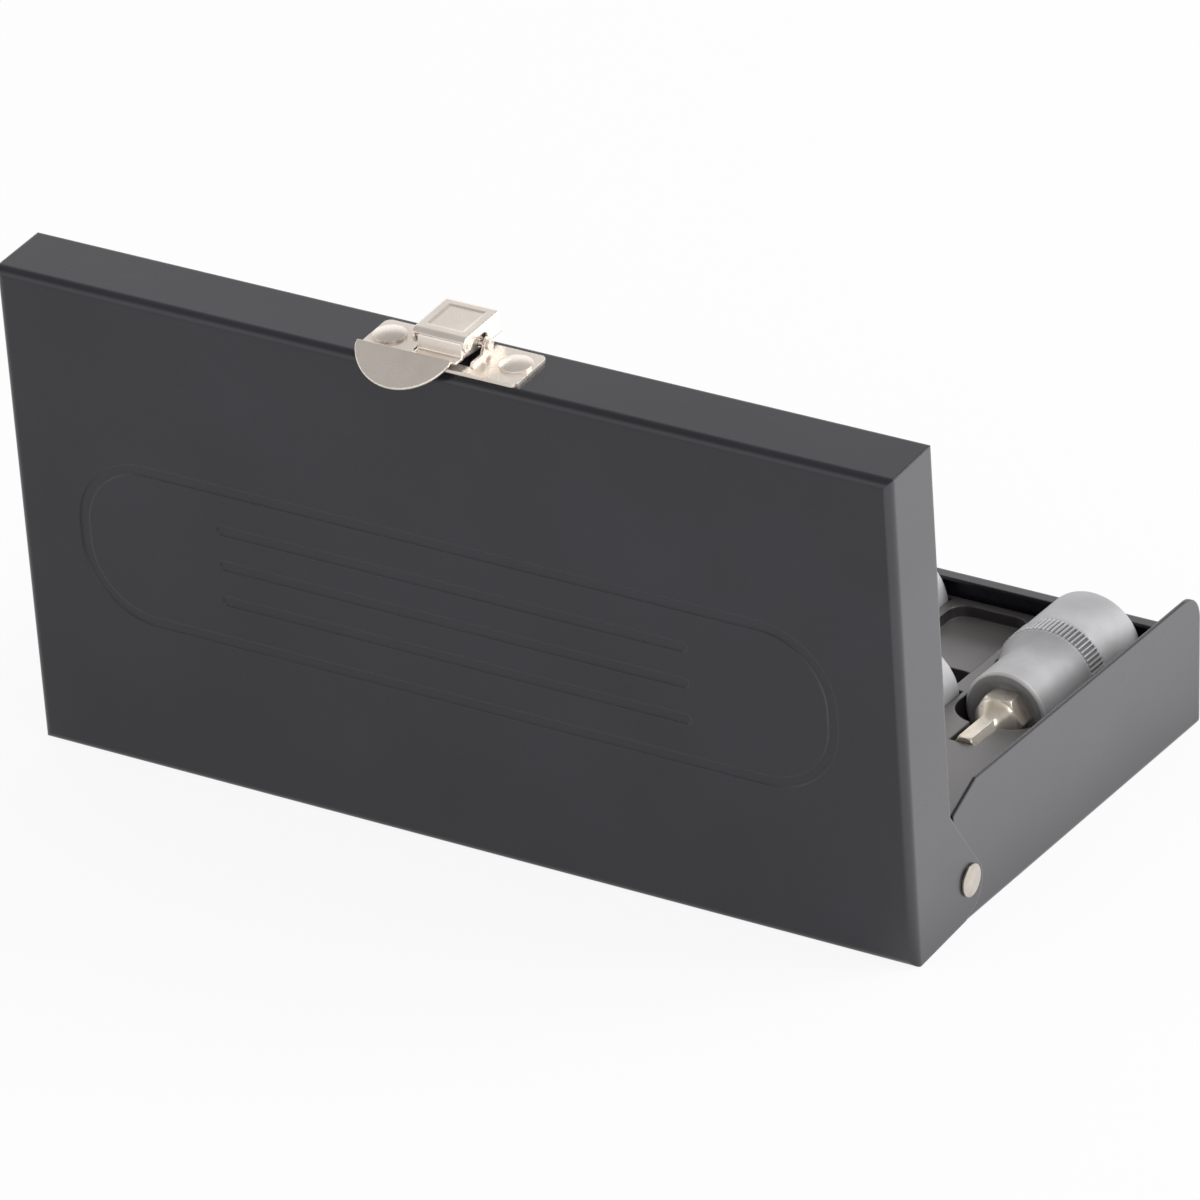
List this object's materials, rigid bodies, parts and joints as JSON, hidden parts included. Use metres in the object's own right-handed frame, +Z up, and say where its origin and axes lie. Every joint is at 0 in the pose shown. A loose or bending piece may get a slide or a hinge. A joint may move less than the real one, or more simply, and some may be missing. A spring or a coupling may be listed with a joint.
{
  "type": "bit socket case",
  "caption": "Small hinged sheet-metal case with a toggle latch, a moulded tray and two rows of hex bit sockets, lid standing open.",
  "frame": {"origin": "centre of the flat underside of the base", "axes": "+Z up, -Y towards the latch side, X along the hinge"},
  "size_m": [0.2102, 0.1396, 0.12],
  "materials": {
    "painted_case": "semi-gloss",
    "tray_plastic": "satin",
    "latch_nickel": "satin nickel",
    "socket_chrome": "satin chrome",
    "bit_steel": "plated tool steel",
    "rivet_steel": "plated"
  },
  "bodies": {
    "base": {"base_shell": "painted_case", "hinge_rivet_left": "rivet_steel", "hinge_rivet_right": "rivet_steel", "insert_tray": "tray_plastic", "strike_plate": "latch_nickel", "strike_plate_rivets": "rivet_steel"},
    "lid": {"lid_shell": "painted_case", "latch_plate": "latch_nickel", "latch_plate_rivets": "rivet_steel", "lever_pin": "latch_nickel"},
    "lever": {"latch_lever": "latch_nickel", "claw_hinge_pin": "latch_nickel"},
    "claw": {"latch_claw": "latch_nickel"},
    "socket_1": {"socket_body_1": "socket_chrome", "hex_bit_1": "bit_steel"},
    "socket_2": {"socket_body_2": "socket_chrome", "hex_bit_2": "bit_steel"},
    "socket_3": {"socket_body_3": "socket_chrome", "hex_bit_3": "bit_steel"},
    "socket_4": {"socket_body_4": "socket_chrome", "hex_bit_4": "bit_steel"},
    "socket_5": {"socket_body_5": "socket_chrome", "hex_bit_5": "bit_steel"},
    "socket_6": {"socket_body_6": "socket_chrome", "hex_bit_6": "bit_steel"},
    "socket_7": {"socket_body_7": "socket_chrome", "hex_bit_7": "bit_steel"},
    "socket_8": {"socket_body_8": "socket_chrome", "hex_bit_8": "bit_steel"}
  },
  "joints": [
    {"name": "lid_hinge", "type": "hinge", "parent": "base", "child": "lid", "pos_m": [0, 0.0473, 0.0103], "axis": [-1, 0, 0], "range_deg": [-94.9, 0]},
    {"name": "latch_lever", "type": "hinge", "parent": "lid", "child": "lever", "pos_m": [0, 0.06835, 0.11529], "axis": [1, 0, 0], "range_deg": [-7, 50]},
    {"name": "latch_claw", "type": "hinge", "parent": "lever", "child": "claw", "pos_m": [0, 0.07411, 0.117], "axis": [1, 0, 0], "range_deg": [-75, 10.5]},
    {"name": "lift_socket_1", "type": "slide", "parent": "base", "child": "socket_1", "axis": [0, 0, 1], "range_m": [0, 0.032]},
    {"name": "lift_socket_2", "type": "slide", "parent": "base", "child": "socket_2", "axis": [0, 0, 1], "range_m": [0, 0.032]},
    {"name": "lift_socket_3", "type": "slide", "parent": "base", "child": "socket_3", "axis": [0, 0, 1], "range_m": [0, 0.032]},
    {"name": "lift_socket_4", "type": "slide", "parent": "base", "child": "socket_4", "axis": [0, 0, 1], "range_m": [0, 0.032]},
    {"name": "lift_socket_5", "type": "slide", "parent": "base", "child": "socket_5", "axis": [0, 0, 1], "range_m": [0, 0.032]},
    {"name": "lift_socket_6", "type": "slide", "parent": "base", "child": "socket_6", "axis": [0, 0, 1], "range_m": [0, 0.032]},
    {"name": "lift_socket_7", "type": "slide", "parent": "base", "child": "socket_7", "axis": [0, 0, 1], "range_m": [0, 0.032]},
    {"name": "lift_socket_8", "type": "slide", "parent": "base", "child": "socket_8", "axis": [0, 0, 1], "range_m": [0, 0.032]}
  ],
  "couplings": [
    {"joint": "latch_claw", "follows": "latch_lever", "ratio": -1.5}
  ]
}
